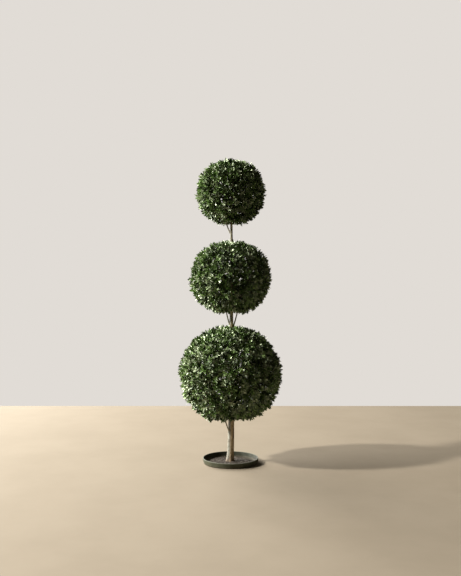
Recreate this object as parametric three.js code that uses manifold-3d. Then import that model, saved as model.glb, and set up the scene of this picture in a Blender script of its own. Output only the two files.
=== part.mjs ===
// A three-ball box topiary: one slender trunk through three clipped balls of leaves, with thin
// side shoots below them, standing in a shallow round dish with a thin layer of soil.
// Millimetres, +Z up. The origin is the middle of the dish's flat underside.
import * as THREE from 'three';
import { mergeVertices } from 'three/addons/utils/BufferGeometryUtils.js';
import Module from 'manifold-3d';

const wasm = await Module();
wasm.setup();

// Clear space between two pieces where one carries the other
const GAP = 0.3;

// Dish
const DISH_RADIUS = 136.5;
const DISH_HEIGHT = 26;
const DISH_FLOOR = 3.5;
const DISH_WALL = 5.5;
const DISH_FOOT_INSET = 4;
const DISH_FOOT_ROUNDING = 4;
const DISH_CORNER_ROUNDING = 8;
const DISH_SIDES = 40;
const QUARTER_STEPS = 2;

// Soil: a low heap with a rounded edge, short of the wall
const SOIL_RADIUS = 107;
const SOIL_EDGE_ROUNDING = 1.2;
const SOIL_FOOT = DISH_FLOOR + GAP;
const SOIL_AT_EDGE = SOIL_FOOT + 2 * SOIL_EDGE_ROUNDING;
const SOIL_AT_TRUNK = 8.5;
const SOIL_FLAT_RADIUS = 34;
const SOIL_SLOPE_STEPS = 3;

// Trunk: its radius halves over each HALVING of height, and the root flare dies away above the soil.
// It leans over to one side near its foot, by half of what is left of LEAN over each LEAN_HALVING
const TRUNK_FOOT_HEIGHT = SOIL_AT_TRUNK + GAP;
const TRUNK_TIP_HEIGHT = 1390;
const TRUNK_RADIUS = 17.6;
const TRUNK_HALVING = 757;
const FLARE = 4.6;
const FLARE_HEIGHT = 13;
const FLARE_LOBES = 5;
const FLARE_LOBE_DEPTH = 1.8;
const TRUNK_FOOT_X = -3;
const TRUNK_LEAN = 7.4;
const LEAN_HALVING = 60;
const TRUNK_SWAY = 5;
const TRUNK_SIDES = 14;
const TRUNK_STEP = 100;
const FLARE_STEP = 7;
const FLARE_STEPS = 5;

// Side shoots: turn is the compass angle from +X, reach is how far out of the trunk's middle each ends
const SHOOT_FOOT_RADIUS = 3.9;
const SHOOT_TIP_RADIUS = 2.7;
const SHOOT_BEND = 0.75;
const SHOOT_SUNK = 7;
const SHOOT_SIDES = 8;
const SHOOT_STEPS = 5;
const SHOOT_STEP_GROWTH = 1.4;

// Balls of foliage: half width and half height of the clipped outline, the height of the middle and its
// sideways place, and the shoots that run up into it
const BALLS = [
  {
    name: 'lower',
    halfWidth: 254,
    halfHeight: 246,
    middle: 435.5,
    x: 1,
    seed: 11,
    shoots: [{ name: 'left', turn: 222, reach: 52, from: 138 }],
  },
  {
    name: 'middle',
    halfWidth: 205,
    halfHeight: 191.5,
    middle: 909,
    x: 0,
    seed: 12,
    shoots: [
      { name: 'left', turn: 188, reach: 31.5, from: 655 },
      { name: 'right', turn: -14, reach: 38, from: 650 },
    ],
  },
  {
    name: 'upper',
    halfWidth: 175,
    halfHeight: 171,
    middle: 1326.5,
    x: 2,
    seed: 13,
    shoots: [{ name: 'left', turn: 172, reach: 36, from: 1120 }],
  },
];

// The furthest tips reach this many times the clipped outline, and the core lies this deep under it
const TIP_REACH = 1.05;
const CORE_DEPTH = 44;
const CORE_DETAIL = 3;
const CORE_UNEVENNESS = 0.015;

// Twigs, order by order: every twig ends at a point of a golden-angle spiral over the ball, one point to
// each patch SPACING wide, and starts at the nearest end of the order before it. The first order starts
// on a stem line up the middle of the ball and ends inside the core, at SHELL of the ball's size. The
// last order bears the leaves: two opposite pairs at its tip, at right angles to each other
const TWIG_ORDERS = [
  { spacing: 175, radius: 6, shell: 0.6 },
  { spacing: 116, radius: 4.2 },
];
const TWIG_TIP_RADIUS = 3.4;
const TWIG_SIDES = 3;
const TWIG_RISE = 0.35;
const SPIRAL_JITTER = 0.3;
const TRIM_UNEVENNESS = 0.04;
const LEAF_LENGTH = 58;
const LEAF_WIDTH = 40;
const LEAF_THICKNESS = 2.4;
const LEAF_ROOT = 0.5;
const LEAF_PAIRS = [
  { belowTip: 3, spread: 30 },
  { belowTip: 10, spread: 63 },
];
const LIMB_CLEARANCE = 2;
const REACH_ROUNDING = 1e-4;
const GOLDEN_ANGLE = Math.PI * (3 - Math.sqrt(5));

// Edges shorter than this are closed up after pieces are joined or cut
const SMALLEST_EDGE = 0.05;

const MATERIALS = {
  stoneware: new THREE.MeshStandardMaterial({ color: 0x817c6a, roughness: 0.75, metalness: 0 }),
  soil: new THREE.MeshStandardMaterial({ color: 0x6b5f51, roughness: 1, metalness: 0 }),
  bark: new THREE.MeshStandardMaterial({ color: 0x9a8c74, roughness: 0.9, metalness: 0 }),
  leaf: new THREE.MeshStandardMaterial({ color: 0x3a5426, roughness: 0.5, metalness: 0 }),
};

// Seeded random numbers from 0 to 1, the same on every run
function makeRandom(seed) {
  let state = seed;
  return () => {
    state = (state * 1664525 + 1013904223) % 4294967296;
    return state / 4294967296;
  };
}

// A closed mesh with shared corners, as a solid that can be joined and cut
function solidOf(geometry) {
  const bare = geometry.clone();
  bare.deleteAttribute('normal');
  bare.deleteAttribute('uv');
  const merged = mergeVertices(bare, 1e-4);
  return new wasm.Manifold(new wasm.Mesh({
    numProp: 3,
    vertProperties: Float32Array.from(merged.attributes.position.array),
    triVerts: Uint32Array.from(merged.index.array),
  }));
}

function geometryOf(solid) {
  const mesh = solid.getMesh();
  const geometry = new THREE.BufferGeometry();
  geometry.setAttribute('position', new THREE.BufferAttribute(mesh.vertProperties, 3));
  geometry.setIndex(new THREE.BufferAttribute(mesh.triVerts, 1));
  geometry.computeVertexNormals();
  return geometry;
}

// The largest body of a solid: loose scraps are dropped, and hollows that joining sealed are filled
function wholeBody(solid) {
  const bodies = solid.simplify(SMALLEST_EDGE).decompose();
  return bodies.reduce((largest, body) => (body.volume() > largest.volume() ? body : largest));
}

function addMesh(group, name, geometry, material) {
  const mesh = new THREE.Mesh(geometry, material);
  mesh.name = name;
  group.add(mesh);
}

// Points of an arc in a lathe profile, from one angle to another in quarter turns
function arcPoints(x, z, radius, fromQuarter, toQuarter) {
  const points = [];
  const steps = QUARTER_STEPS * Math.abs(toQuarter - fromQuarter);
  for (let step = 0; step <= steps; step += 1) {
    const angle = (Math.PI / 2) * (fromQuarter + ((toQuarter - fromQuarter) * step) / steps);
    points.push(new THREE.Vector2(x + radius * Math.cos(angle), z + radius * Math.sin(angle)));
  }
  return points;
}

// A profile of (radius, height) points, from the axis and back to it, turned about +Z
function turned(profile) {
  return new THREE.LatheGeometry(profile, DISH_SIDES).rotateX(Math.PI / 2);
}

const RIM_RADIUS = DISH_WALL / 2;
const FOOT_ARC_RADIUS = DISH_RADIUS - DISH_FOOT_INSET - DISH_FOOT_ROUNDING;
const CORNER_ARC_RADIUS = DISH_RADIUS - DISH_FOOT_INSET - DISH_WALL - DISH_CORNER_ROUNDING;
const CORNER_ARC_HEIGHT = DISH_FLOOR + DISH_CORNER_ROUNDING;

function dishGeometry() {
  return turned([
    new THREE.Vector2(0, 0),
    ...arcPoints(FOOT_ARC_RADIUS, DISH_FOOT_ROUNDING, DISH_FOOT_ROUNDING, -1, 0),
    ...arcPoints(DISH_RADIUS - RIM_RADIUS, DISH_HEIGHT - RIM_RADIUS, RIM_RADIUS, 0, 2),
    ...arcPoints(CORNER_ARC_RADIUS, CORNER_ARC_HEIGHT, DISH_CORNER_ROUNDING, 0, -1),
    new THREE.Vector2(0, DISH_FLOOR),
  ]);
}

// The soil is flat under the trunk and falls a little towards its edge
function soilGeometry() {
  const edge = SOIL_RADIUS - SOIL_EDGE_ROUNDING;
  const profile = [
    new THREE.Vector2(0, SOIL_FOOT),
    ...arcPoints(edge, SOIL_FOOT + SOIL_EDGE_ROUNDING, SOIL_EDGE_ROUNDING, -1, 1),
  ];
  for (let step = 1; step <= SOIL_SLOPE_STEPS; step += 1) {
    const share = step / SOIL_SLOPE_STEPS;
    profile.push(new THREE.Vector2(
      THREE.MathUtils.lerp(edge, SOIL_FLAT_RADIUS, share),
      THREE.MathUtils.lerp(SOIL_AT_EDGE, SOIL_AT_TRUNK, Math.sin((Math.PI / 2) * share))));
  }
  profile.push(new THREE.Vector2(0, SOIL_AT_TRUNK));
  return turned(profile);
}

// The middle and radius of the trunk at a height
function trunkAt(height) {
  const up = height - SOIL_AT_TRUNK;
  return {
    x: TRUNK_FOOT_X + TRUNK_LEAN * (1 - 0.5 ** (up / LEAN_HALVING)),
    y: TRUNK_SWAY * Math.sin(2 * Math.PI * (up / TRUNK_TIP_HEIGHT)),
    radius: TRUNK_RADIUS * 0.5 ** (up / TRUNK_HALVING) + FLARE * Math.exp(-up / FLARE_HEIGHT),
    lobe: FLARE_LOBE_DEPTH * Math.exp(-up / FLARE_HEIGHT),
  };
}

// Heights of the trunk's rings: close together over the root flare, then evenly up to the tip
function trunkHeights() {
  const heights = [];
  for (let step = 0; step < FLARE_STEPS; step += 1) {
    heights.push(TRUNK_FOOT_HEIGHT + step * FLARE_STEP);
  }
  const start = TRUNK_FOOT_HEIGHT + FLARE_STEPS * FLARE_STEP;
  const steps = Math.round((TRUNK_TIP_HEIGHT - start) / TRUNK_STEP);
  for (let step = 0; step <= steps; step += 1) {
    heights.push(start + ((TRUNK_TIP_HEIGHT - start) * step) / steps);
  }
  return heights;
}

// The middle and radius of a side shoot at a height: it leaves the trunk and bends upwards
function shootAt(shoot, height) {
  const share = THREE.MathUtils.clamp((height - shoot.from) / (shoot.to - shoot.from), 0, 1);
  const out = shoot.reach * share ** SHOOT_BEND;
  const turn = THREE.MathUtils.degToRad(shoot.turn);
  const foot = trunkAt(shoot.from);
  return {
    x: foot.x + out * Math.cos(turn),
    y: foot.y + out * Math.sin(turn),
    radius: THREE.MathUtils.lerp(SHOOT_FOOT_RADIUS, SHOOT_TIP_RADIUS, share),
    lobe: 0,
  };
}

function shootHeights(shoot) {
  const heights = [];
  for (let step = 0; step <= SHOOT_STEPS; step += 1) {
    const share = (step / SHOOT_STEPS) ** SHOOT_STEP_GROWTH;
    heights.push(THREE.MathUtils.lerp(shoot.from, shoot.to, share));
  }
  return heights;
}

// A closed limb with a level ring of corners at each height and flat ends, all grown by a margin
function limbGeometry(at, heights, sides, margin) {
  const last = heights.length - 1;
  const rings = heights.map((height) => ({ ...at(height), height }));
  rings[0].height -= margin;
  rings[last].height += margin;
  const geometry = new THREE.CylinderGeometry(1, 1, last, sides, last);
  const corners = geometry.attributes.position;
  for (let i = 0; i < corners.count; i += 1) {
    const ring = rings[Math.round(corners.getY(i) + last / 2)];
    const across = corners.getX(i);
    const along = -corners.getZ(i);
    const lobe = ring.lobe * Math.cos(FLARE_LOBES * Math.atan2(along, across));
    const radius = ring.radius + lobe + margin;
    corners.setXYZ(i, ring.x + radius * across, ring.y + radius * along, ring.height);
  }
  return geometry;
}

function trunkGeometry(margin) {
  return limbGeometry(trunkAt, trunkHeights(), TRUNK_SIDES, margin);
}

function shootGeometry(shoot, margin) {
  return limbGeometry((height) => shootAt(shoot, height), shootHeights(shoot), SHOOT_SIDES, margin);
}

// Half width and half height of a ball's core
function coreSize(ball) {
  return { halfWidth: ball.halfWidth - CORE_DEPTH, halfHeight: ball.halfHeight - CORE_DEPTH };
}

// A shoot ends a little way into the core of the ball above it
function shootEnd(ball, shoot) {
  const core = coreSize(ball);
  return ball.middle - core.halfHeight * Math.sqrt(1 - (shoot.reach / core.halfWidth) ** 2) + SHOOT_SUNK;
}

for (const ball of BALLS) {
  for (const shoot of ball.shoots) {
    shoot.to = shootEnd(ball, shoot);
  }
}

const SHOOTS = BALLS.flatMap((ball) => ball.shoots);

// True where a point lies inside the ball's reach and clear of every limb
function isFree(ball, point) {
  const out = Math.hypot(point.x - ball.x, point.y) / (ball.halfWidth * TIP_REACH);
  const up = (point.z - ball.middle) / (ball.halfHeight * TIP_REACH);
  if (out ** 2 + up ** 2 > 1 + REACH_ROUNDING) {
    return false;
  }
  const isClear = (place) => (
    Math.hypot(point.x - place.x, point.y - place.y) > place.radius + LIMB_CLEARANCE);
  if (point.z < TRUNK_TIP_HEIGHT + LIMB_CLEARANCE && !isClear(trunkAt(point.z))) {
    return false;
  }
  return SHOOTS.every((shoot) => (
    point.z < shoot.from || point.z > shoot.to || isClear(shootAt(shoot, point.z))));
}

// The core: a slightly uneven ball inside the leaves
function coreGeometry(ball, random) {
  const core = coreSize(ball);
  const geometry = mergeVertices(
    new THREE.IcosahedronGeometry(1, CORE_DETAIL).deleteAttribute('normal').deleteAttribute('uv'),
    1e-4);
  const corners = geometry.attributes.position;
  for (let i = 0; i < corners.count; i += 1) {
    const uneven = 1 + CORE_UNEVENNESS * (2 * random() - 1);
    corners.setXYZ(
      i,
      ball.x + corners.getX(i) * core.halfWidth * uneven,
      corners.getY(i) * core.halfWidth * uneven,
      ball.middle + corners.getZ(i) * core.halfHeight * uneven);
  }
  return geometry;
}

// A straight three-sided twig that tapers from start to end
function twigGeometry(start, end, startRadius, endRadius) {
  const length = start.distanceTo(end);
  const axis = end.clone().sub(start).divideScalar(length);
  const turn = new THREE.Quaternion().setFromUnitVectors(new THREE.Vector3(0, 1, 0), axis);
  return new THREE.CylinderGeometry(endRadius, startRadius, length, TWIG_SIDES)
    .applyQuaternion(turn)
    .translate(...start.clone().lerp(end, 0.5).toArray());
}

// A leaf of eight faces from its root along its length, its face turned to the way its tip bud points,
// or nothing if any of its corners isn't free
function leafGeometry(ball, root, along, outward) {
  const across = new THREE.Vector3().crossVectors(outward, along).normalize();
  const face = new THREE.Vector3().crossVectors(along, across);
  const middle = root.clone().addScaledVector(along, LEAF_LENGTH / 2 - LEAF_ROOT);
  const geometry = new THREE.OctahedronGeometry(1)
    .scale(LEAF_LENGTH / 2, LEAF_WIDTH / 2, LEAF_THICKNESS / 2)
    .applyMatrix4(new THREE.Matrix4().makeBasis(along, across, face).setPosition(middle));
  const corners = geometry.attributes.position;
  for (let i = 0; i < corners.count; i += 1) {
    if (!isFree(ball, new THREE.Vector3().fromBufferAttribute(corners, i))) {
      return null;
    }
  }
  return geometry;
}

// The leaves at a twig's tip, spread about the outward direction there
function tipLeaves(ball, twig, outward, turn) {
  const back = twig.start.clone().sub(twig.end).normalize();
  const frame = new THREE.Quaternion().setFromUnitVectors(new THREE.Vector3(0, 1, 0), outward);
  const leaves = [];
  LEAF_PAIRS.forEach((pair, level) => {
    const spread = THREE.MathUtils.degToRad(pair.spread);
    const root = twig.end.clone().addScaledVector(back, pair.belowTip);
    for (const side of [0, 1]) {
      const around = turn + Math.PI * (level / 2 + side);
      const along = new THREE.Vector3().setFromSphericalCoords(1, spread, around);
      leaves.push(leafGeometry(ball, root, along.applyQuaternion(frame), outward));
    }
  });
  return leaves.filter((leaf) => leaf !== null);
}

// Where a first twig leaves the stem line: lower down than it ends, because it rises
function stemPoint(ball, end) {
  return new THREE.Vector3(
    ball.x, 0, THREE.MathUtils.lerp(end.z, ball.middle - ball.halfHeight, TWIG_RISE));
}

function nearest(points, place) {
  return points.reduce((best, point) => (
    point.distanceToSquared(place) < best.distanceToSquared(place) ? point : best));
}

// Directions from the middle of a ball: a golden-angle spiral from pole to pole, a little uneven
function spiral(ball, spacing, random) {
  const count = Math.round((4 * Math.PI * ball.halfWidth * ball.halfHeight) / spacing ** 2);
  const directions = [];
  for (let i = 0; i < count; i += 1) {
    const up = 1 - (2 * i) / (count - 1);
    const ring = Math.sqrt(1 - up ** 2);
    const turn = i * GOLDEN_ANGLE + SPIRAL_JITTER * (random() - 0.5);
    directions.push(new THREE.Vector3(ring * Math.cos(turn), ring * Math.sin(turn), up));
  }
  return directions;
}

// The point of a ball in a direction, at a share of its half width and half height
function shellPoint(ball, direction, share) {
  return new THREE.Vector3(
    ball.x + direction.x * ball.halfWidth * share,
    direction.y * ball.halfWidth * share,
    ball.middle + direction.z * ball.halfHeight * share);
}

// How far out a leafy twig ends, so that the tips of its last pair just reach the trimmed outline
function leafyShare(ball, trim) {
  const spread = THREE.MathUtils.degToRad(LEAF_PAIRS[0].spread);
  const length = LEAF_LENGTH - LEAF_ROOT;
  const size = Math.min(ball.halfWidth, ball.halfHeight);
  const sideways = (length * Math.sin(spread)) / size;
  const forward = (length * Math.cos(spread) - LEAF_PAIRS[0].belowTip) / size;
  return Math.sqrt((TIP_REACH - trim) ** 2 - sideways ** 2) - forward;
}

// The twigs and leaves of a ball, skipping what isn't free
function growth(ball, random) {
  const pieces = [];
  let origins = null;
  TWIG_ORDERS.forEach((order, level) => {
    const isLast = level === TWIG_ORDERS.length - 1;
    const endRadius = isLast ? TWIG_TIP_RADIUS : TWIG_ORDERS[level + 1].radius;
    const ends = [];
    for (const direction of spiral(ball, order.spacing, random)) {
      const trim = direction.z === 1 ? 0 : TRIM_UNEVENNESS * random();
      const share = isLast ? leafyShare(ball, trim) : order.shell;
      const end = shellPoint(ball, direction, share);
      const start = origins === null ? stemPoint(ball, end) : nearest(origins, end);
      const turn = 2 * Math.PI * random();
      ends.push(end);
      if (!isLast || isFree(ball, end)) {
        pieces.push(twigGeometry(start, end, order.radius, endRadius));
      }
      if (isLast && isFree(ball, end)) {
        pieces.push(...tipLeaves(ball, { start, end }, direction, turn));
      }
    }
    origins = ends;
  });
  return pieces;
}

// One ball: its core, twigs and leaves as one solid, cut clear of the trunk and the shoots
function foliageSolid(ball, limbs) {
  const random = makeRandom(ball.seed);
  const geometries = [coreGeometry(ball, random), ...growth(ball, random)];
  const foliage = wasm.Manifold.union(geometries.map(solidOf));
  return wholeBody(foliage.subtract(limbs));
}

const topiary = new THREE.Group();
addMesh(topiary, 'dish', dishGeometry(), MATERIALS.stoneware);
addMesh(topiary, 'soil', soilGeometry(), MATERIALS.soil);
addMesh(topiary, 'trunk', trunkGeometry(0), MATERIALS.bark);

const trunkRoom = solidOf(trunkGeometry(GAP));
const limbRoom = wasm.Manifold.union([
  trunkRoom, ...SHOOTS.map((shoot) => solidOf(shootGeometry(shoot, GAP)))]);

for (const ball of BALLS) {
  for (const shoot of ball.shoots) {
    const solid = wholeBody(solidOf(shootGeometry(shoot, 0)).subtract(trunkRoom));
    addMesh(topiary, `shoot_${ball.name}_${shoot.name}`, geometryOf(solid), MATERIALS.bark);
  }
}

for (const ball of BALLS) {
  addMesh(topiary, `foliage_${ball.name}`, geometryOf(foliageSolid(ball, limbRoom)), MATERIALS.leaf);
}

export default topiary;
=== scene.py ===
# A three-ball box topiary: the looks of its dish, soil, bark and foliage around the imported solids.
# Metres, +Z up, with the origin in the middle of the dish's flat underside.
import math
from collections import namedtuple

import bpy
import numpy as np
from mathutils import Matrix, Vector


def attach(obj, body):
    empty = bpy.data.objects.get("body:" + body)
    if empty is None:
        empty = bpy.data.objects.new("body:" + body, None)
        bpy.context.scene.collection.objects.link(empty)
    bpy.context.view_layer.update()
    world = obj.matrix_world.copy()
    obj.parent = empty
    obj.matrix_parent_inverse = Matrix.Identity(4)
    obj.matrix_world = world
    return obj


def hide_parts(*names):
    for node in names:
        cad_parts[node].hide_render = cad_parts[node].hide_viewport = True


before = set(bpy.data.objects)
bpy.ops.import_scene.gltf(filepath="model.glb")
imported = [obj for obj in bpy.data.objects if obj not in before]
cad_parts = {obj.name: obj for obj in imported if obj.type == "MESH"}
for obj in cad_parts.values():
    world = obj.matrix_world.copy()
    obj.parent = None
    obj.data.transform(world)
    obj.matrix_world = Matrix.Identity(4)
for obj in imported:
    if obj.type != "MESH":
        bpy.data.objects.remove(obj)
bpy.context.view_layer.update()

ROOT = "root"
UP = np.array([0.0, 0.0, 1.0])

# Camera: level, with the photograph's lens on a 36 mm sensor. Its rise shifts the view upwards, by a
# share of the long side
CAMERA_DISTANCE = 3.551
CAMERA_HEIGHT = 0.849
CAMERA_SENSOR = 36
CAMERA_LENS = 45.1
CAMERA_RISE = 0.0035

# Floor, backdrop colour and lights. A light is a name, a place, a width, a power and a colour
FLOOR_HALF = 1.733
BACKDROP = "e1dcd6"
AMBIENT = "f4e6cf"
AMBIENT_STRENGTH = 0.09
LIGHT_TARGET = (0.0, 0.0, 0.75)
LIGHTS = (
    ("sun", (-7.546, -1.604, 5.385), 0.6, 1390, "fffaf2"),
    ("sky_left", (-8.268, 2.215, 3.531), 5.9, 1480, "fbfaf8"),
    ("sky_behind", (-4.851, 6.928, 3.828), 5.9, 1800, "fbf6ee"),
)

# Dish: a turned wall with a rounded rim, foot and inner corner
DISH_RADIUS = 0.1365
DISH_HEIGHT = 0.026
DISH_FLOOR = 0.0035
DISH_WALL = 0.0055
DISH_FOOT_INSET = 0.004
DISH_FOOT_ROUNDING = 0.004
DISH_FOOT = DISH_RADIUS - DISH_FOOT_INSET - DISH_FOOT_ROUNDING
DISH_CORNER_ROUNDING = 0.008
DISH_SEGMENTS = 180
DISH_ARC_STEPS = 8
DISH_WALL_STEPS = 12
INNERMOST_RING = 0.001

# How it is out of true: throwing rings, an oval and lobed wall, a rim that rises and falls. Its floor
# is true out to DISH_STEADY of its foot's radius
THROWING_RING_DEPTH = 0.00012
THROWING_RING_PITCH = 0.0034
DISH_OVAL_DEPTH = 0.0004
DISH_OVAL_TURN = 0.7
DISH_LOBE_DEPTH = 0.0002
DISH_LOBES = 5
RIM_WAVE_HEIGHT = 0.0002
RIM_WAVES = 3
DISH_STEADY = 0.6

# Its pale rim starts and is full this far below the top, and is fainter in patches. Its inside is
# darkened with painted shade, which has soft edges
RIM_BAND = (0.0025, 0.0003)
RIM_UNEVENNESS = 0.5
SHADE_INSIDE_EDGE = 0.0012
SHADE_INSIDE_FLOOR_BAND = (0.6, 0.9)
STONEWARE_ROUGHNESS = (0.66, 0.82)

# Soil: a low heap with a rounded edge, short of the wall
SOIL_RADIUS = 0.107
SOIL_EDGE_ROUNDING = 0.0012
SOIL_GAP = 0.0003
SOIL_FOOT = DISH_FLOOR + SOIL_GAP
SOIL_AT_EDGE = SOIL_FOOT + 2 * SOIL_EDGE_ROUNDING
SOIL_AT_TRUNK = 0.0085
SOIL_FLAT_RADIUS = 0.034
SOIL_RINGS = 56
SOIL_SEGMENTS = 180
SOIL_SEED = 21

# Its lumps are waves added up, of these frequencies in radians a metre. They die away LUMP_FADE from
# its edge, which falls back in bays that fade quickly towards the middle
LUMP_WAVES = 40
LUMP_FREQUENCIES = (60, 420)
LUMP_SLOPE = 0.05
LUMP_FADE = 0.006
BAY_DEPTH = 0.006
BAY_COUNTS = range(2, 15)
BAY_FADE = 6

# Crumbs: where they lie, their smallest and largest radius, how many to a square metre, a seed and
# two colours. Some are spilt on a ring of bare dish
SPILT_RING = 0.012
CRUMBS = {
    "fine": ("soil", 0.0005, 0.0018, 42000.0, 3, "2e271e", "443d33"),
    "coarse": ("soil", 0.0014, 0.0038, 7000.0, 5, "292019", "4d453a"),
    "grit": ("soil", 0.0008, 0.0022, 2600.0, 9, "60594d", "756d60"),
    "spilt": ("dish", 0.0004, 0.0016, 9000.0, 4, "2e271e", "443d33"),
}
CRUMB_FLATTEST = (0.6, 0.6, 0.4)
CRUMB_ROUNDEST = (1.3, 1.0, 0.9)
CRUMB_SIZE_POWER = 3.0

# Trunk: its radius halves over each HALVING of height, and the root flare dies away above the soil.
# It leans over to one side near its foot, by half of what is left of LEAN over each LEAN_HALVING
TRUNK_TIP = 1.390
TRUNK_SUNK = 0.002
TRUNK_RADIUS = 0.0176
TRUNK_HALVING = 0.757
FLARE = 0.0046
FLARE_HEIGHT = 0.013
FLARE_LOBES = 5
FLARE_LOBE_DEPTH = 0.0018
TRUNK_FOOT_X = -0.003
TRUNK_LEAN = 0.0074
LEAN_HALVING = 0.060
TRUNK_SWAY = 0.005
TRUNK_SEGMENTS = 64

# Old knots on the trunk: height, compass angle, width and how far each stands out. A knot is taller
# than it is wide, with a narrower dimple in it
KNOTS = (
    (0.090, 223, 0.0052, 0.0022),
    (0.150, 40, 0.0048, 0.0018),
    (0.176, 300, 0.0035, 0.0012),
    (0.700, 240, 0.0032, 0.0012),
    (1.108, 330, 0.0026, 0.0009),
    (1.150, 80, 0.0024, 0.0008),
)
KNOT_TALLNESS = 1.3
DIMPLE_WIDTH = 0.45
DIMPLE_DEPTH = 0.75

# Bark: ridges longer upright than across, and cracks between them
BARK_STEP = 0.0025
BARK_RELIEF = {"ridge": 0.0007, "ridge_width": 0.0045, "stretch": 7.0}
SHOOT_RELIEF = {"ridge": 0.0003, "ridge_width": 0.0022}
CRACK_SCALE = 0.8
CRACK_WIDTH = 0.12
CRACK_DEPTH = 0.6
BARK_SHARP_ANGLE = 60

# Its colours turn from grey to tan across one side, and darken in its hollows. The turn is painted
# light:
# the side away from the lamps is painted a paler, warmer tan as bounce light, and the lit side a darker
# grey
PAINTED_BOUNCE_BAND = (-0.45, 0.2)
HOLLOW_BAND = (0.55, 1.05)
HOLLOW_SHARE = 0.8

# Side shoots; in the foliage they run on a little past their solids
SHOOT_FOOT_RADIUS = 0.0039
SHOOT_TIP_RADIUS = 0.0027
SHOOT_BEND = 0.75
SHOOT_SUNK = 0.007
SHOOT_RUN_ON = 0.05
SHOOT_SEGMENTS = 24

# The core of each ball's solid: how far under the outline it lies, and its corners, each of which
# takes one random number before the twigs start
CORE_DEPTH = 0.044
CORE_CORNERS = 162

# A side shoot: the compass angle that it leans to, how far out it ends, and where it starts
Shoot = namedtuple("Shoot", "name turn reach start")

# A ball of foliage: half the width and height of its clipped outline, its middle's height and x, its
# seed and its shoots
Ball = namedtuple("Ball", "name half_width half_height middle x seed shoots")

BALLS = (
    Ball("lower", 0.254, 0.246, 0.4355, 0.001, 11, (Shoot("left", 222, 0.052, 0.138),)),
    Ball("middle", 0.205, 0.1915, 0.909, 0.0, 12, (
        Shoot("left", 188, 0.0315, 0.655), Shoot("right", -14, 0.038, 0.650))),
    Ball("upper", 0.175, 0.171, 1.3265, 0.002, 13, (Shoot("left", 172, 0.036, 1.120),)),
)

# Twigs, order by order. Each ends at a point of a golden-angle spiral over the ball, one point to each
# patch SPACING wide, and starts at the nearest end of the order before. The first starts on a stem
# line up the middle and ends at SHELL of the ball's size, the second a spray's length under the
# outline, the third at FORK_DEPTH, and the last bears the leaves. A girth is the radius at the foot
# of each order, then at the last tips
TWIG_SPACINGS = (0.175, 0.116, 0.046, 0.0165)
TWIG_GIRTHS = (0.0052, 0.0034, 0.0019, 0.0010, 0.0006)
LAST_ORDER = len(TWIG_SPACINGS) - 1
BOUGH_SIDES = 5
STEM_SIDES = 4
SHELL = 0.6
SPRAY_LENGTH = 0.0575
SPRAY_SPREAD = 30
SPRAY_ROOT = 0.003
FORK_DEPTH = 0.036
TWIG_RISE = 0.35
SPIRAL_JITTER = 0.3
GOLDEN_ANGLE = math.pi * (3 - math.sqrt(5))

# Shares of the ball's size: where sprays end, how unevenly boughs are cut back, and what no leaf
# reaches past. Leaves stay clear of the trunk and the shoots
TIP_REACH = 1.05
TRIM_UNEVENNESS = 0.04
LEAF_REACH = 1.09
REACH_ROUNDING = 1e-4
LIMB_CLEARANCE = 0.002

# Boughs rise on their way out, and forks bend inwards, both by a share of their length
BOUGH_RISE = 0.1
FORK_BEND = -0.3
CURVE_STEPS = 4

# Leafy stems fan out from their fork and turn up. Each ends in a straight STEM_LENGTH, or at most
# STEM_SHARE of its way
STEM_LENGTH = 0.030
STEM_SHARE = 0.8
STEM_FAN = 0.45
STEM_LIFT = 0.12

# The clipped outline, in shares of the ball's size: how far the longest stems' leaves reach, and how
# far the others are cut back. A slope below one cuts more of them far back than little. A stem has
# SPRAY_TRIM of its cut from its fork
OUTLINE_REACH = 1.072
OUTLINE_UNEVENNESS = 0.135
OUTLINE_SLOPE = 0.6
SPRAY_TRIM = 0.2

# Where the outline dips: round the trunk, above and below, and in a gap in each ball's underside, in
# front of the trunk
POLE_DIP = 0.05
POLE_WIDTH = 0.3
GAP_DEPTH = 0.17
GAP_WIDTH = 0.17
GAP_LENGTH = 0.24
GAP_FORWARD = 0.12

# Leaves, in opposite pairs down each leafy stem: distance below its tip, spread in degrees and share
# of full size
LEAF_PAIRS = (
    (0.0005, 15, 0.90),
    (0.0046, 38, 1.00),
    (0.0102, 56, 1.00),
    (0.0170, 66, 0.98),
)
LEAF_LENGTH = 0.0200
LEAF_WIDTH = 0.0082
LEAF_THICKNESS = 0.0005
LEAF_FOLD = 0.3
LEAF_CURL = 0.0022
LEAF_SHOULDER = -0.35
LEAF_TOWARDS_LIGHT = 0.35

# How uneven they are: in turn (radians), in spread (degrees), in the way they face, and in size
TURN_NOISE = 0.22
SPREAD_NOISE = 9
FACE_NOISE = 0.6
LEAF_SIZES = (0.82, 1.14)

# Leaf colours, dealt out stem by stem: a colour, its roughness and how many in a hundred stems have
# it. A CLUMP_SHARE of the stems have their fork's colour instead
LEAF_SHADES = {
    "deep": ("20310b", 0.34, 26),
    "green": ("455f29", 0.34, 24),
    "mid": ("7a955b", 0.36, 23),
    "fresh": ("a3b091", 0.36, 19),
    "dull": ("6f7f66", 0.40, 8),
}
CLUMP_SHARE = 0.1
LEAF_GLOSS = 1.0
LEAF_IOR = 1.62
LEAF_GLOSS_TINT = "e6f0cc"

# Mottling: where its noise starts to show and is full. Splashes: how uneven their edge is
PATCH_BAND = (0.3, 0.7)
SPECK_BAND = (0.35, 0.65)
SPLASH_UNEVENNESS = 1.6

# A direction that no stem points along, to measure turns from
OFF_AXIS = (0.31, 0.17, 0.94)

# Seeded random numbers, by the same rule as the solids'
RANDOM_FACTOR = 1664525
RANDOM_STEP = 1013904223
RANDOM_RANGE = 2 ** 32


# Node trees

def colour(code):
    """A linear colour from its six-digit code."""
    parts = [int(code[i:i + 2], 16) / 255 for i in (0, 2, 4)]
    linear = [part / 12.92 if part <= 0.04045 else ((part + 0.055) / 1.055) ** 2.4 for part in parts]
    return (*linear, 1.0)


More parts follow.
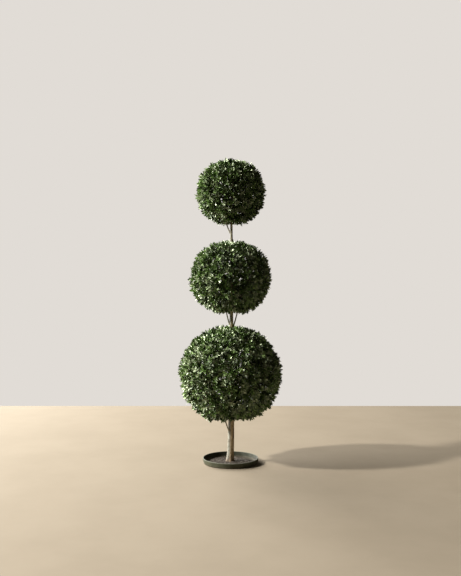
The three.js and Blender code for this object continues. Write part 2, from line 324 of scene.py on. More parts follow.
def by_socket(values):
    """Values by socket name, from their labels in this script."""
    return {label.replace("_", " ").title().replace("Ior", "IOR"): values[label] for label in values}


def fill(tree, sockets, inputs):
    """Links or sets sockets, by name or number."""
    for key, value in inputs.items():
        if isinstance(value, bpy.types.NodeSocket):
            tree.links.new(value, sockets[key])
        else:
            sockets[key].default_value = value


def place(tree, kind, inputs=None, **settings):
    """Adds a node, with its settings, and its inputs linked or set."""
    node = tree.nodes.new(kind)
    for setting, value in settings.items():
        setattr(node, setting, value)
    fill(tree, node.inputs, inputs or {})
    return node


def made(tree, kind, inputs=None, **settings):
    """What a new node puts out: the first of its outputs that is in use."""
    node = place(tree, kind, inputs, **settings)
    return next(socket for socket in node.outputs if socket.enabled)


def calc(tree, operation, *values):
    """The result of a maths node."""
    return made(tree, "ShaderNodeMath", dict(enumerate(values)), operation=operation)


def times(tree, product, *factors):
    """The product of some numbers."""
    for factor in factors:
        product = calc(tree, "MULTIPLY", product, factor)
    return product


def scaled(tree, vector, factor):
    """A vector times a number."""
    return made(tree, "ShaderNodeVectorMath", {0: vector, "Scale": factor}, operation="SCALE")


def drawn_out(tree, spot, stretch):
    """Places on which a pattern is longer upright than across."""
    flat = made(tree, "ShaderNodeCombineXYZ", {0: 1.0, 1: 1.0, 2: calc(tree, "DIVIDE", 1.0, stretch)})
    return made(tree, "ShaderNodeVectorMath", {0: spot, 1: flat}, operation="MULTIPLY")


def ramp(tree, value, low, high, to_low=0.0, to_high=1.0):
    """A value carried smoothly from one range to another, and held at its ends."""
    inputs = dict(enumerate((value, low, high, to_low, to_high)))
    return made(tree, "ShaderNodeMapRange", inputs, interpolation_type="SMOOTHSTEP")


def noise(tree, spot, size, detail, roughness, distortion=0.0):
    """A cloudy pattern of a size."""
    return made(tree, "ShaderNodeTexNoise", {
        "Vector": spot, "Scale": calc(tree, "DIVIDE", 1.0, size), "Detail": detail,
        "Roughness": roughness, "Distortion": distortion})


def mix(tree, share, first, second):
    """A colour between two others."""
    paint = made(tree, "ShaderNodeMix", data_type="RGBA")
    sockets = {socket.name: socket for socket in paint.node.inputs if socket.enabled}
    fill(tree, sockets, {"Factor": share, "A": first, "B": second})
    return paint


def stain(tree, paint, mask, code, share):
    """A paint with another colour over it, by a share of a mask."""
    return mix(tree, times(tree, mask, share), paint, colour(code))


def new_group(kind, name, inputs, outputs):
    """A node group with named inputs and outputs, and the sockets that its inputs arrive at."""
    group = bpy.data.node_groups.new(name, kind)
    for label, (socket, value) in inputs.items():
        item = group.interface.new_socket(label, in_out="INPUT", socket_type=f"NodeSocket{socket}")
        if value is not None:
            item.default_value = value
    for label, socket in outputs.items():
        group.interface.new_socket(label, in_out="OUTPUT", socket_type=f"NodeSocket{socket}")
    return group, group.nodes.new("NodeGroupInput").outputs


# Geometry node trees

def geometry_tree(name, **sizes):
    """A tree from one geometry to another, with a material and named sizes as inputs."""
    inputs = {"Geometry": ("Geometry", None), "Material": ("Material", None)}
    for label, value in by_socket(sizes).items():
        inputs[label] = ("Int" if isinstance(value, int) else "Float", value)
    tree, given = new_group("GeometryNodeTree", name, inputs, {"Geometry": "Geometry"})
    tree.is_modifier = True
    return tree, given


def end_tree(tree, given, geometry):
    """Realizes what the tree has made, gives it its material and puts it out."""
    whole = made(tree, "GeometryNodeRealizeInstances", {"Geometry": geometry})
    inputs = {"Geometry": whole, "Material": given["Material"]}
    place(tree, "NodeGroupOutput", {"Geometry": made(tree, "GeometryNodeSetMaterial", inputs)})
    return tree


def attribute(tree, name, kind="FLOAT"):
    """A named attribute of the geometry that the tree works on."""
    return made(tree, "GeometryNodeInputNamedAttribute", {"Name": name}, data_type=kind)


def leaf_tree():
    """Sets a leaf at each point: six corners round its edge, and its middle just above and below
    them. It is folded up along its rib, and its tip curls down."""
    tree, given = geometry_tree(
        "leaves", length=LEAF_LENGTH, width=LEAF_WIDTH, thickness=LEAF_THICKNESS, fold=LEAF_FOLD,
        curl=LEAF_CURL, shoulder=LEAF_SHOULDER)
    blank = made(tree, "GeometryNodeMeshUVSphere", {"Segments": 6, "Rings": 2})
    corner = made(tree, "GeometryNodeInputPosition")
    x, y, z = place(tree, "ShaderNodeSeparateXYZ", {0: corner}).outputs
    along = calc(tree, "MULTIPLY_ADD", x, 0.5, 0.5)
    broad = calc(tree, "MULTIPLY_ADD", x, given["Shoulder"], 1.0)
    half = times(tree, given["Width"], 0.5 / math.sin(math.pi / 3))
    across = times(tree, y, broad, half)
    lift = times(tree, calc(tree, "ABSOLUTE", across), given["Fold"])
    drop = times(tree, along, along, given["Curl"])
    thick = times(tree, z, 0.5, given["Thickness"])
    high = calc(tree, "SUBTRACT", calc(tree, "ADD", thick, lift), drop)
    reach = times(tree, along, given["Length"])
    corner = made(tree, "ShaderNodeCombineXYZ", {0: reach, 1: across, 2: high})
    leaf = made(tree, "GeometryNodeSetPosition", {"Geometry": blank, "Position": corner})
    turn = made(
        tree, "FunctionNodeAxesToRotation",
        {0: attribute(tree, "along", "FLOAT_VECTOR"), 1: attribute(tree, "face", "FLOAT_VECTOR")},
        primary_axis="X", secondary_axis="Z")
    leaves = made(tree, "GeometryNodeInstanceOnPoints", {
        "Points": given["Geometry"], "Instance": leaf, "Rotation": turn,
        "Scale": attribute(tree, "size")})
    return end_tree(tree, given, leaves)


def twig_tree():
    """Gives every chain of edges a round section, as wide as its points say, with closed ends."""
    tree, given = geometry_tree("twigs", sides=BOUGH_SIDES)
    lines = made(tree, "GeometryNodeMeshToCurve", {"Mesh": given["Geometry"]})
    ring = made(
        tree, "GeometryNodeCurvePrimitiveCircle", {"Resolution": given["Sides"], "Radius": 1.0})
    twigs = made(tree, "GeometryNodeCurveToMesh", {
        "Curve": lines, "Profile Curve": ring, "Scale": attribute(tree, "girth"),
        "Fill Caps": True})
    return end_tree(tree, given, twigs)


def bark_tree():
    """Raises long upright ridges on a limb, with cracks between them, and keeps how deep each point
    lies as the attribute hollow."""
    tree, given = geometry_tree("bark_relief", **BARK_RELIEF)
    spot = drawn_out(tree, made(tree, "GeometryNodeInputPosition"), given["Stretch"])
    width = given["Ridge Width"]
    waves = noise(tree, spot, width, detail=4.0, roughness=0.6, distortion=0.4)
    cracks = made(
        tree, "ShaderNodeTexVoronoi",
        {"Vector": spot, "Scale": calc(tree, "DIVIDE", CRACK_SCALE, width)},
        feature="DISTANCE_TO_EDGE")
    cracks = ramp(tree, cracks, 0.0, CRACK_WIDTH, 1.0, 0.0)
    hollow = calc(tree, "MULTIPLY_ADD", cracks, CRACK_DEPTH, calc(tree, "SUBTRACT", 1.0, waves))
    depth = times(tree, calc(tree, "SUBTRACT", 0.5, hollow), given["Ridge"])
    limb = made(
        tree, "GeometryNodeStoreNamedAttribute",
        {"Geometry": given["Geometry"], "Name": "hollow", "Value": hollow},
        data_type="FLOAT", domain="POINT")
    move = scaled(tree, made(tree, "GeometryNodeInputNormal"), depth)
    limb = made(tree, "GeometryNodeSetPosition", {"Geometry": limb, "Offset": move})
    return end_tree(tree, given, limb)


def random_value(tree, seed, kind, inputs):
    """A random number or vector for each point."""
    return made(tree, "FunctionNodeRandomValue", {**inputs, "Seed": seed}, data_type=kind)


def crumb_tree():
    """Scatters uneven crumbs over a surface, each turned and sized at random. Most are small."""
    tree, given = geometry_tree(
        "crumbs", smallest=0.0006, largest=0.0022, per_square_metre=40000.0, seed=3)
    seed = given["Seed"]
    points = made(
        tree, "GeometryNodeDistributePointsOnFaces",
        {"Mesh": given["Geometry"], "Density": given["Per Square Metre"], "Seed": seed})
    crumb = made(tree, "GeometryNodeMeshIcoSphere", {"Radius": 1.0, "Subdivisions": 1})
    turn = random_value(tree, seed, "FLOAT_VECTOR", {0: (0.0, 0.0, 0.0), 1: (math.tau,) * 3})
    shape = random_value(
        tree, calc(tree, "ADD", seed, 1.0), "FLOAT_VECTOR", {0: CRUMB_FLATTEST, 1: CRUMB_ROUNDEST})
    draw = random_value(tree, calc(tree, "ADD", seed, 2.0), "FLOAT", {2: 0.0, 3: 1.0})
    spare = calc(tree, "SUBTRACT", given["Largest"], given["Smallest"])
    share = calc(tree, "POWER", draw, CRUMB_SIZE_POWER)
    size = calc(tree, "MULTIPLY_ADD", share, spare, given["Smallest"])
    crumbs = made(tree, "GeometryNodeInstanceOnPoints", {
        "Points": points, "Instance": crumb, "Rotation": turn, "Scale": scaled(tree, shape, size)})
    return end_tree(tree, given, crumbs)


# Objects and meshes

def add_object(name, data):
    """Adds an object to the scene, at the origin."""
    thing = bpy.data.objects.new(name, data)
    bpy.context.scene.collection.objects.link(thing)
    return thing


def grown(name, mesh, tree, material, **sizes):
    """The piece that a geometry node tree makes of a mesh. Empty material slots are taken out."""
    piece = add_object(name, mesh)
    modifier = piece.modifiers.new(tree.name, "NODES")
    modifier.node_group = tree
    given = {"Material": material, **by_socket(sizes)}
    for item in tree.interface.items_tree:
        if item.in_out == "INPUT" and item.name in given:
            modifier[item.identifier] = given[item.name]
    result = bpy.data.meshes.new_from_object(
        piece.evaluated_get(bpy.context.evaluated_depsgraph_get()))
    result.name = name
    for index in reversed(range(len(result.materials))):
        if result.materials[index] is None:
            result.materials.pop(index=index)
    piece.modifiers.remove(modifier)
    piece.data = result
    return piece


def full_turn(count):
    """Angles evenly round a turn."""
    return np.linspace(0, math.tau, count, endpoint=False)


def shade(piece, sharp_degrees=40):
    """Shades a piece smooth, apart from its sharp edges."""
    piece.data.shade_smooth()
    piece.data.set_sharp_from_angle(angle=math.radians(sharp_degrees))


def solid_piece(name, mesh, material):
    """A smooth piece in one material."""
    piece = add_object(name, mesh)
    mesh.materials.append(material)
    shade(piece)
    return piece


def keep(mesh, label, values):
    """Keeps a number or a vector at each corner of a mesh, as a named attribute."""
    kind, key = ("FLOAT_VECTOR", "vector") if values.ndim == 2 else ("FLOAT", "value")
    kept = mesh.attributes.new(label, kind, "POINT")
    kept.data.foreach_set(key, values.astype(np.float32).ravel())


def point_mesh(name, places, edges=None, **attributes):
    """A mesh of bare points, or points and edges, with named attributes."""
    mesh = bpy.data.meshes.new(name)
    mesh.vertices.add(len(places))
    mesh.vertices.foreach_set("co", places.astype(np.float32).ravel())
    if edges is not None:
        mesh.edges.add(len(edges))
        mesh.edges.foreach_set("vertices", edges.astype(np.int32).ravel())
    for label, values in attributes.items():
        keep(mesh, label, values)
    return mesh


def ring_mesh(name, rings, is_closed=True):
    """A mesh from rings of corners, a (rings, corners, 3) array. If closed, its ends are flat fans."""
    count, sides, _ = rings.shape
    step = np.arange(sides)
    after = (step + 1) % sides
    blocks = [
        np.stack([base + step, base + after, base + sides + after, base + sides + step], axis=1)
        for base in range(0, (count - 1) * sides, sides)]
    corners = rings.reshape(-1, 3)
    if is_closed:
        last, low = (count - 1) * sides, count * sides
        corners = np.concatenate([corners, rings[:1].mean(axis=1), rings[-1:].mean(axis=1)])
        blocks.append(np.stack([after, step, np.full(sides, low)], axis=1))
        blocks.append(np.stack([last + step, last + after, np.full(sides, low + 1)], axis=1))
    mesh = bpy.data.meshes.new(name)
    mesh.from_pydata(corners.tolist(), [], [face for block in blocks for face in block.tolist()])
    return mesh


# Turned profiles, as lists of (radius, height) points

def arc(x, z, radius, from_quarter, to_quarter):
    """Points of an arc, from one angle to another in quarter turns."""
    angles = np.linspace(from_quarter, to_quarter, DISH_ARC_STEPS + 1) * math.pi / 2
    return [(x + radius * math.cos(angle), z + radius * math.sin(angle)) for angle in angles]


def between(start, end):
    """Points of a straight wall, without its ends."""
    shares = np.linspace(0, 1, DISH_WALL_STEPS + 1)[1:-1]
    return [tuple(np.array(start) + (np.array(end) - start) * share) for share in shares]


def dish_profile():
    """The dish's section, from its underside out over its rim and in to its floor."""
    rim = DISH_WALL / 2
    corner = DISH_RADIUS - DISH_FOOT_INSET - DISH_WALL - DISH_CORNER_ROUNDING
    outer = arc(DISH_FOOT, DISH_FOOT_ROUNDING, DISH_FOOT_ROUNDING, -1, 0)
    over = arc(DISH_RADIUS - rim, DISH_HEIGHT - rim, rim, 0, 2)
    inner = arc(corner, DISH_FLOOR + DISH_CORNER_ROUNDING, DISH_CORNER_ROUNDING, 0, -1)
    return [
        (INNERMOST_RING, 0.0), (DISH_FOOT / 2, 0.0), *outer, *between(outer[-1], over[0]), *over,
        *between(over[-1], inner[0]), *inner, (corner / 2, DISH_FLOOR), (INNERMOST_RING, DISH_FLOOR)]


def dish_ring(angles, radius, height):
    """A ring of the dish's corners, a little out of true. Its foot stays flat on the ground."""
    standing = min(1.0, height / DISH_HEIGHT)
    rings = THROWING_RING_DEPTH * math.sin(math.tau * height / THROWING_RING_PITCH)
    oval = DISH_OVAL_DEPTH * np.cos(2 * angles + DISH_OVAL_TURN)
    bent = oval + DISH_LOBE_DEPTH * np.cos(DISH_LOBES * angles)
    around = radius + standing * (rings + bent) * (radius > DISH_FOOT * DISH_STEADY)
    rise = RIM_WAVE_HEIGHT * standing * np.cos(RIM_WAVES * angles)
    return np.stack([around * np.cos(angles), around * np.sin(angles), height + rise], axis=1)


# Limbs

def trunk_at(height):
    """The middle, radius and root lobes of the trunk at each height."""
    up = np.asarray(height, float) - SOIL_AT_TRUNK
    share = up / TRUNK_TIP
    return (
        TRUNK_FOOT_X + TRUNK_LEAN * (1 - 0.5 ** (up / LEAN_HALVING)),
        TRUNK_SWAY * np.sin(math.tau * share),
        TRUNK_RADIUS * 0.5 ** (up / TRUNK_HALVING) + FLARE * np.exp(-up / FLARE_HEIGHT),
        FLARE_LOBE_DEPTH * np.exp(-up / FLARE_HEIGHT))


def knots_at(heights, angles, radius):
    """How far the trunk's old knots stand out: a raised ring about a dimple."""
    out = np.zeros((len(heights), len(angles)))
    for height, turn, width, depth in KNOTS:
        aside = (angles - math.radians(turn) + math.pi) % math.tau - math.pi
        rise = (heights[:, None] - height) / (KNOT_TALLNESS * width)
        away = np.hypot(rise, aside * radius[:, None] / width)
        dimple = DIMPLE_DEPTH * np.exp(-(away / DIMPLE_WIDTH) ** 2)
        out += depth * (np.exp(-away ** 2) - dimple)
    return out


def shoot_end(ball, shoot):
    """The height at which a shoot's solid ends, a little way into the core of its ball."""
    core_width, core_height = ball.half_width - CORE_DEPTH, ball.half_height - CORE_DEPTH
    rise = core_height * math.sqrt(1 - (shoot.reach / core_width) ** 2)
    return ball.middle - rise + SHOOT_SUNK


def shoot_at(ball, shoot, height):
    """The middle and radius of a shoot at each height: it leaves the trunk and bends upwards."""
    share = (np.asarray(height, float) - shoot.start) / (shoot_end(ball, shoot) - shoot.start)
    share = np.clip(share, 0, None)
    out = shoot.reach * share ** SHOOT_BEND
    turn = math.radians(shoot.turn)
    x, y, _, _ = trunk_at(shoot.start)
    radius = SHOOT_FOOT_RADIUS + (SHOOT_TIP_RADIUS - SHOOT_FOOT_RADIUS) * share
    return x + out * math.cos(turn), y + out * math.sin(turn), radius


SHOOTS = tuple((ball, shoot) for ball in BALLS for shoot in ball.shoots)


def is_free(ball, points):
    """True for each point inside the ball's reach and clear of every limb."""
    x, y, z = points[..., 0], points[..., 1], points[..., 2]
    out = np.hypot(x - ball.x, y) / (ball.half_width * LEAF_REACH)
    up = (z - ball.middle) / (ball.half_height * LEAF_REACH)
    free = out ** 2 + up ** 2 <= 1 + REACH_ROUNDING
    trunk_x, trunk_y, radius, _ = trunk_at(z)
    clear = np.hypot(x - trunk_x, y - trunk_y) > radius + LIMB_CLEARANCE
    free &= clear | (z > TRUNK_TIP + LIMB_CLEARANCE)
    for owner, shoot in SHOOTS:
        shoot_x, shoot_y, radius = shoot_at(owner, shoot, z)
        clear = np.hypot(x - shoot_x, y - shoot_y) > radius + LIMB_CLEARANCE
        free &= clear | (z < shoot.start) | (z > shoot_end(owner, shoot))
    return free


# Foliage

def seeded(seed):
    """Random numbers from 0 to 1, the same on every run."""
    state = seed
    while True:
        state = (state * RANDOM_FACTOR + RANDOM_STEP) % RANDOM_RANGE
        yield state / RANDOM_RANGE


def unit(vectors):
    """Vectors brought to a length of one."""
    return vectors / np.linalg.norm(vectors, axis=-1, keepdims=True)


def spiral(ball, spacing, random):
    """Directions from a ball's middle: a golden-angle spiral from pole to pole, a little uneven."""
    count = round(4 * math.pi * ball.half_width * ball.half_height / spacing ** 2)
    index = np.arange(count)
    up = 1 - 2 * index / (count - 1)
    ring = np.sqrt(1 - up ** 2)
    jitter = np.array([next(random) for _ in index])
    turn = index * GOLDEN_ANGLE + SPIRAL_JITTER * (jitter - 0.5)
    return np.stack([ring * np.cos(turn), ring * np.sin(turn), up], axis=1)


def trims_and_turns(directions, random):
    """How much each twig is cut back, and which way its leaves are turned. The first twig isn't cut."""
    trims, turns = [], []
    for direction in directions:
        trims.append(0.0 if direction[2] == 1 else next(random))
        turns.append(math.tau * next(random))
    return np.array(trims), np.array(turns)


def shell_points(ball, directions, share):
    """The points of a ball in some directions, at a share of its half width and half height."""
    size = np.array([ball.half_width, ball.half_width, ball.half_height])
    middle = np.array([ball.x, 0.0, ball.middle])
    return middle + directions * size * np.asarray(share)[..., None]


def stem_points(ball, ends):
    """Where first twigs leave the stem line: lower down than they end, because they rise."""
    low = ball.middle - ball.half_height
    starts = np.zeros_like(ends)
    starts[:, 0] = ball.x
    starts[:, 2] = ends[:, 2] + (low - ends[:, 2]) * TWIG_RISE
    return starts


def nearest(origins, places):
    """The origin nearest to each place, as its index."""
    gaps = ((places[:, None, :] - origins[None, :, :]) ** 2).sum(axis=2)
    return gaps.argmin(axis=1)


def dips(directions):
    """How much shorter leafy stems are round the trunk, and in the gap in front of it underneath."""
    ring = np.hypot(directions[:, 0], directions[:, 1])
    pole = POLE_DIP * np.exp(-(ring / POLE_WIDTH) ** 2)
    across = directions[:, 0] / GAP_WIDTH
    deep = (directions[:, 1] + GAP_FORWARD) / GAP_LENGTH
    is_under = directions[:, 2] < 0
    return pole + GAP_DEPTH * np.exp(-across ** 2 - deep ** 2) * is_under


def end_shares(ball, level, trims, directions):
    """How far out the twigs of an order end, as shares of the ball's size."""
    size = min(ball.half_width, ball.half_height)
    if level == 0:
        return np.full(len(trims), SHELL)
    if level == 1:
        spread = math.radians(SPRAY_SPREAD)
        sideways = SPRAY_LENGTH * math.sin(spread) / size
        forward = (SPRAY_LENGTH * math.cos(spread) - SPRAY_ROOT) / size
        return np.sqrt((TIP_REACH - TRIM_UNEVENNESS * trims) ** 2 - sideways ** 2) - forward
    if level == 2:
        return 1 - FORK_DEPTH / size - TRIM_UNEVENNESS * trims
    cut = OUTLINE_UNEVENNESS * trims ** OUTLINE_SLOPE
    leaf_reach = LEAF_LENGTH * LEAF_PAIRS[0][2]
    return OUTLINE_REACH - cut - leaf_reach / size - dips(directions)


def bough_lines(level, starts, ends, directions):
    """Points along boughs or forks, curved by way of a control point."""
    span = np.linalg.norm(ends - starts, axis=1, keepdims=True)
    rise = BOUGH_RISE * UP if level < LAST_ORDER - 1 else FORK_BEND * directions
    controls = (starts + ends) / 2 + rise * span
    share = np.linspace(0, 1, CURVE_STEPS + 1)[None, :, None]
    return (
        (1 - share) ** 2 * starts[:, None] + 2 * share * (1 - share) * controls[:, None]
        + share ** 2 * ends[:, None])


def stem_lines(starts, ends, directions):
    """Points along leafy stems, and the direction of each one's straight end."""
    span = np.linalg.norm(ends - starts, axis=1, keepdims=True)
    fan = STEM_FAN * (ends - starts) / span + STEM_LIFT * UP
    axes = unit(directions + fan)
    feet = ends - axes * np.minimum(STEM_LENGTH, STEM_SHARE * span)
    return np.stack([starts, feet, ends], axis=1), axes


def girths_along(level, lines):
    """The radius at each point of an order's twigs, as they taper."""
    share = np.linspace(0, 1, lines.shape[1])
    girth = TWIG_GIRTHS[level] + (TWIG_GIRTHS[level + 1] - TWIG_GIRTHS[level]) * share
    return np.broadcast_to(girth, lines.shape[:2])


# What grows in a ball: the lines of each order of twigs, and the tips, directions, turns and forks
# of its leafy stems
Growth = namedtuple("Growth", "lines tips axes turns clumps")


def grow_ball(ball):
    """Grows a ball's twigs, order by order, out to its leafy stems."""
    random = seeded(ball.seed)
    for _ in range(CORE_CORNERS):
        next(random)
    lines = []
    for level, spacing in enumerate(TWIG_SPACINGS):
        directions = spiral(ball, spacing, random)
        trims, turns = trims_and_turns(directions, random)
        if level == LAST_ORDER:
            forks = nearest(origins, shell_points(ball, directions, 1.0))
            trims = (1 - SPRAY_TRIM) * trims + SPRAY_TRIM * fork_trims[forks]
        ends = shell_points(ball, directions, end_shares(ball, level, trims, directions))
        if level == 0:
            starts = stem_points(ball, ends)
        else:
            clumps = nearest(origins, ends)
            starts = origins[clumps]
        if level < LAST_ORDER:
            lines.append(bough_lines(level, starts, ends, directions))
            origins, fork_trims = ends, trims
    free = is_free(ball, ends)
    ends = ends[free]
    stems, axes = stem_lines(starts[free], ends, directions[free])
    return Growth([*lines, stems], ends, axes, turns[free], clumps[free])


def deal_shades(growth, chance):
    """A shade for each leafy stem. A few take the shade of their fork."""
    shares = np.array([share for _, _, share in LEAF_SHADES.values()], float)
    shares /= shares.sum()
    of_clump = chance.choice(len(shares), growth.clumps.max() + 1, p=shares)
    own = chance.choice(len(shares), len(growth.clumps), p=shares)
    takes_clump = chance.random(len(growth.clumps)) < CLUMP_SHARE
    return np.where(takes_clump, of_clump[growth.clumps], own)


def leaf_places(ball, growth):
    """Where every leaf of a ball grows: its root, the ways it points and faces, its size and shade."""
    chance = np.random.default_rng(ball.seed)
    shades = deal_shades(growth, chance)
    axes = growth.axes
    count = len(axes)
    side = unit(np.cross(axes, OFF_AXIS))
    other = np.cross(axes, side)
    found = []
    for level, (below_tip, spread, size) in enumerate(LEAF_PAIRS):
        for half in (0, 1):
            around = growth.turns + math.pi * (level / 2 + half) + chance.normal(0, TURN_NOISE, count)
            wide = np.radians(spread + chance.normal(0, SPREAD_NOISE, count))[:, None]
            radial = side * np.cos(around)[:, None] + other * np.sin(around)[:, None]
            along = axes * np.cos(wide) + radial * np.sin(wide)
            face = axes * np.sin(wide) - radial * np.cos(wide)
            face = face + LEAF_TOWARDS_LIGHT * UP + chance.normal(0, FACE_NOISE, (count, 3))
            face = unit(face - along * (face * along).sum(axis=1, keepdims=True))
            roots = growth.tips - axes * below_tip
            sizes = size * chance.uniform(*LEAF_SIZES, count)
            length = (LEAF_LENGTH * sizes)[:, None]
            free = is_free(ball, roots + along * length) & is_free(ball, roots + along * length / 2)
            found.append((roots[free], along[free], face[free], sizes[free], shades[free]))
    return [np.concatenate(values) for values in zip(*found)]


# Materials

def object_spot(tree):
    """The place of a surface point on its piece."""
    return place(tree, "ShaderNodeTexCoord").outputs["Object"]


def mottling_group():
    """Patches and specks over a surface. The patches can be longer upright than across."""
    group, given = new_group(
        "ShaderNodeTree", "mottling",
        {"Patch Size": ("Float", 0.02), "Upright Stretch": ("Float", 1.0),
         "Speck Size": ("Float", 0.002)},
        {"Patches": "Float", "Specks": "Float"})
    spot = drawn_out(group, object_spot(group), given["Upright Stretch"])
    patches = noise(group, spot, given["Patch Size"], detail=6.0, roughness=0.62)
    specks = noise(group, spot, given["Speck Size"], detail=2.0, roughness=0.7)
    place(group, "NodeGroupOutput", {
        "Patches": ramp(group, patches, *PATCH_BAND), "Specks": ramp(group, specks, *SPECK_BAND)})
    return group


def splash_group():
    """A mask that is full at the soil and fades out above it, with an uneven edge."""
    group, given = new_group(
        "ShaderNodeTree", "soil_splash",
        {"Level": ("Float", 0.01), "Fade": ("Float", 0.03), "Patch Size": ("Float", 0.01)},
        {"Mask": "Float"})
    spot = object_spot(group)
    height = place(group, "ShaderNodeSeparateXYZ", {0: spot}).outputs[2]
    uneven = noise(group, spot, given["Patch Size"], detail=5.0, roughness=0.65)
    above = calc(group, "DIVIDE", calc(group, "SUBTRACT", height, given["Level"]), given["Fade"])
    edge = calc(group, "MULTIPLY_ADD", uneven, SPLASH_UNEVENNESS, -SPLASH_UNEVENNESS / 2)
    reach = calc(group, "ADD", above, edge)
    place(group, "NodeGroupOutput", {"Mask": ramp(group, reach, 0.0, 1.0, 1.0, 0.0)})
    return group


def effect(tree, group, **values):
    """Places a shared effect in a material, with its own values."""
    return place(tree, "ShaderNodeGroup", by_socket(values), node_tree=group).outputs


def new_material(name, **settings):
    """A material with one shader, whose constant settings are on its own sockets."""
    material = bpy.data.materials.new(name)
    material.use_nodes = True
    tree = material.node_tree
    shader = tree.nodes["Principled BSDF"]
    fill(tree, shader.inputs, by_socket(settings))
    return material, tree, shader


def link(tree, shader, **values):
    """Links values that change over the surface to a shader."""
    fill(tree, shader.inputs, by_socket(values))


def bump(tree, height, distance, strength):
    """A normal from a height."""
    return made(
        tree, "ShaderNodeBump", {"Height": height, "Distance": distance, "Strength": strength})


def bark_material(mottling, splash):
    """Pale grey bark, painted a paler, warmer tan on the side away from the lamps as bounce light:
    upright streaks, dark cracks in its hollows, a stained foot.
    """
    material, tree, shader = new_material("limb_bark", roughness=0.85)
    marks = effect(tree, mottling, patch_size=0.011, upright_stretch=5.0, speck_size=0.0013)
    broad = effect(tree, mottling, patch_size=0.05, upright_stretch=2.0)
    splashes = effect(tree, splash)
    hollow = place(tree, "ShaderNodeAttribute", attribute_name="hollow").outputs["Fac"]
    side = place(tree, "ShaderNodeAttribute", attribute_name="side").outputs["Fac"]
    grey = mix(tree, marks["Patches"], colour("a6a99b"), colour("8c8979"))
    grey = stain(tree, grey, broad["Patches"], "92948a", share=0.5)
    # Painted light: the side away from the lamps turns to a paler, warmer tan as bounce light, and the
    # lit side stays grey
    tan = mix(tree, marks["Patches"], colour("dfc8a1"), colour("ceb48a"))
    paint = mix(tree, ramp(tree, side, *PAINTED_BOUNCE_BAND), grey, tan)
    paint = stain(tree, paint, marks["Specks"], "5c503e", share=0.35)
    paint = stain(tree, paint, ramp(tree, hollow, *HOLLOW_BAND), "4a3b2b", share=HOLLOW_SHARE)
    paint = stain(tree, paint, splashes["Mask"], "6b5443", share=0.7)
    height = calc(tree, "ADD", marks["Patches"], marks["Specks"])
    link(tree, shader, base_color=paint, normal=bump(tree, height, distance=0.0004, strength=0.6))
    return material


def painted_shade_inside(tree, across, deep, height):
    """A mask of the dish's inner face, where its painted shade goes: nearer the axis than the middle of
    its slanted wall.
    """
    square = calc(tree, "ADD", times(tree, across, across), times(tree, deep, deep))
    foot_middle = DISH_RADIUS - DISH_FOOT_INSET - DISH_WALL / 2
    wall = calc(tree, "MULTIPLY_ADD", height, DISH_FOOT_INSET / DISH_HEIGHT, foot_middle)
    beyond = calc(tree, "SUBTRACT", calc(tree, "SQRT", square), wall)
    low, high = (share * DISH_FLOOR for share in SHADE_INSIDE_FLOOR_BAND)
    inner = ramp(tree, beyond, -SHADE_INSIDE_EDGE, SHADE_INSIDE_EDGE, 1.0, 0.0)
    return times(tree, inner, ramp(tree, height, low, high))


def stoneware_material(mottling, splash):
    """Matt grey-green stoneware, mottled, with a pale rim, painted shade darkening its inside, and dried
    splashes of soil.
    """
    material, tree, shader = new_material("dish_stoneware", roughness=0.75, specular_ior_level=0.25)
    marks = effect(tree, mottling, patch_size=0.03, speck_size=0.0012)
    splashes = effect(tree, splash, level=0.004, fade=0.008)
    across, deep, height = place(tree, "ShaderNodeSeparateXYZ", {0: object_spot(tree)}).outputs
    rim = ramp(tree, height, *(DISH_HEIGHT - below for below in RIM_BAND))
    patches = calc(tree, "MULTIPLY_ADD", marks["Patches"], RIM_UNEVENNESS, 1 - RIM_UNEVENNESS)
    paint = mix(tree, marks["Patches"], colour("535441"), colour("404333"))
    paint = stain(tree, paint, marks["Specks"], "313225", share=0.3)
    # Painted shade: the dish's inner face is darkened almost to black-green
    paint = stain(tree, paint, painted_shade_inside(tree, across, deep, height), "12140e", share=0.62)
    paint = mix(tree, times(tree, rim, patches), paint, colour("696b60"))
    paint = stain(tree, paint, splashes["Mask"], "4c4336", share=0.45)
    link(tree, shader, base_color=paint,
         roughness=ramp(tree, marks["Patches"], 0.0, 1.0, *STONEWARE_ROUGHNESS),
         normal=bump(tree, marks["Specks"], distance=0.0002, strength=0.5))
    return material


def soil_material(mottling, kind):
    """Dry potting soil: brown, in lighter and darker patches, and grainy."""
    dark, light = CRUMBS[kind][-2:]
    material, tree, shader = new_material(f"soil_{kind}", roughness=0.95)
    marks = effect(tree, mottling, patch_size=0.012, speck_size=0.0011)
    paint = mix(tree, marks["Patches"], colour(dark), colour(light))
    paint = stain(tree, paint, marks["Specks"], "3a2d24", share=0.4)
    grain = bump(tree, marks["Specks"], distance=0.0006, strength=0.8)
    link(tree, shader, base_color=paint, normal=grain)
    return material


def twig_material(mottling):
    """Thin grey-brown twigs with greener young growth."""
    material, tree, shader = new_material("twig_bark", roughness=0.8)
    marks = effect(tree, mottling, patch_size=0.02)
    paint = mix(tree, marks["Patches"], colour("473a2a"), colour("434426"))
    grain = bump(tree, marks["Specks"], distance=0.0003, strength=0.5)
    link(tree, shader, base_color=paint, normal=grain)
    return material


def leaf_material(shade_name):
    """One plain leaf colour, half glossy."""
    code, roughness, _ = LEAF_SHADES[shade_name]
    material, _, _ = new_material(
        f"leaf_{shade_name}", base_color=colour(code), roughness=roughness,
        ior=LEAF_IOR, specular_ior_level=LEAF_GLOSS, specular_tint=colour(LEAF_GLOSS_TINT))
    return material


def floor_material(mottling):
    """A plain pale floor, hardly mottled."""
    material, tree, shader = new_material("pale_floor", roughness=0.9, specular_ior_level=0.15)
    marks = effect(tree, mottling, patch_size=0.4, speck_size=0.01)
    paint = mix(tree, marks["Patches"], colour("8c8272"), colour("877d6d"))
    link(tree, shader, base_color=paint)
    return material


# Pieces

def dress(piece, node):
    """Puts a piece in a node's place, on the one body."""
    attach(piece, ROOT)
    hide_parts(node)


